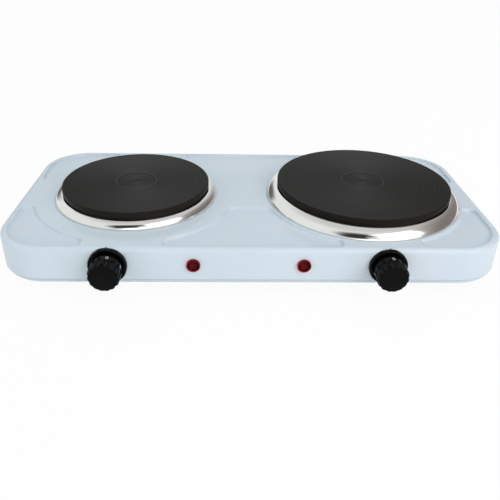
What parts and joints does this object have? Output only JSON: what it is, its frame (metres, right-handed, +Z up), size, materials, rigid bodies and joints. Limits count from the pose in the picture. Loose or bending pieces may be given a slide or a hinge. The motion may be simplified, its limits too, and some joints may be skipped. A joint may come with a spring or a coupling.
{
  "type": "double electric hot plate",
  "caption": "Free-standing electric hot plate: a low enamelled housing with a small and a large cast-iron plate in polished rings, numbered control knobs and red pilot lamps.",
  "frame": {"origin": "middle of the outer box, knobs and gland included, on the surface that it stands on", "axes": "+X to the right as seen from the front, +Y to the rear, +Z up"},
  "size_m": [0.488, 0.2712, 0.0675],
  "materials": {
    "enamel": "gloss enamel",
    "iron": "fine turned, blackened",
    "ring": "polished",
    "black": "gloss",
    "lamp": "clear red",
    "bulb": "clear",
    "rubber": "matte",
    "steel": "zinc plated",
    "element": "dark sheath",
    "brass": "plain",
    "ceramic": "matte",
    "sleeve": "woven sleeve"
  },
  "bodies": {
    "root": {"housing": "enamel", "base_tray": "enamel", "wall_brackets": "steel", "base_screws": "steel", "foot_screws": "steel", "clamp_studs": "steel", "clamp_nuts": "steel", "thermostat_rivets": "steel", "bezel_screws": "steel", "pilot_clips": "steel", "tray_screws": "steel", "earth_tag": "steel", "foot_front_left": "rubber", "foot_front_right": "rubber", "foot_rear_left": "rubber", "foot_rear_right": "rubber", "cord_gland": "rubber", "left_plate": "iron", "left_trim_ring": "ring", "left_filling": "ceramic", "left_terminal_block": "ceramic", "left_thermostat_spacers": "ceramic", "left_heating_element": "element", "left_plate_cover": "steel", "left_clamp_strap": "steel", "left_thermostat_frame": "steel", "left_bimetal_strip": "steel", "left_plate_terminals": "brass", "left_contact_blades": "brass", "left_bezel": "black", "left_pilot_lens": "lamp", "left_pilot_bulb": "bulb", "right_plate": "iron", "right_trim_ring": "ring", "right_filling": "ceramic", "right_terminal_block": "ceramic", "right_thermostat_spacers": "ceramic", "right_heating_element": "element", "right_plate_cover": "steel", "right_clamp_strap": "steel", "right_thermostat_frame": "steel", "right_bimetal_strip": "steel", "right_plate_terminals": "brass", "right_contact_blades": "brass", "right_bezel": "black", "right_pilot_lens": "lamp", "right_pilot_bulb": "bulb", "terminal_strip": "ceramic", "clamp_screws": "brass", "live_wires": "sleeve", "load_wires": "sleeve", "neutral_wires": "sleeve", "earth_wire": "sleeve"},
    "left_control": {"left_knob": "black", "left_spindle": "steel"},
    "right_control": {"right_knob": "black", "right_spindle": "steel"}
  },
  "joints": [
    {"name": "left_knob_turn", "type": "hinge", "parent": "root", "child": "left_control", "pos_m": [-0.1345, -0.1114, 0.033], "axis": [0, 1, 0], "range_deg": [0, 300]},
    {"name": "right_knob_turn", "type": "hinge", "parent": "root", "child": "right_control", "pos_m": [0.1251, -0.1114, 0.033], "axis": [0, 1, 0], "range_deg": [0, 300]}
  ]
}
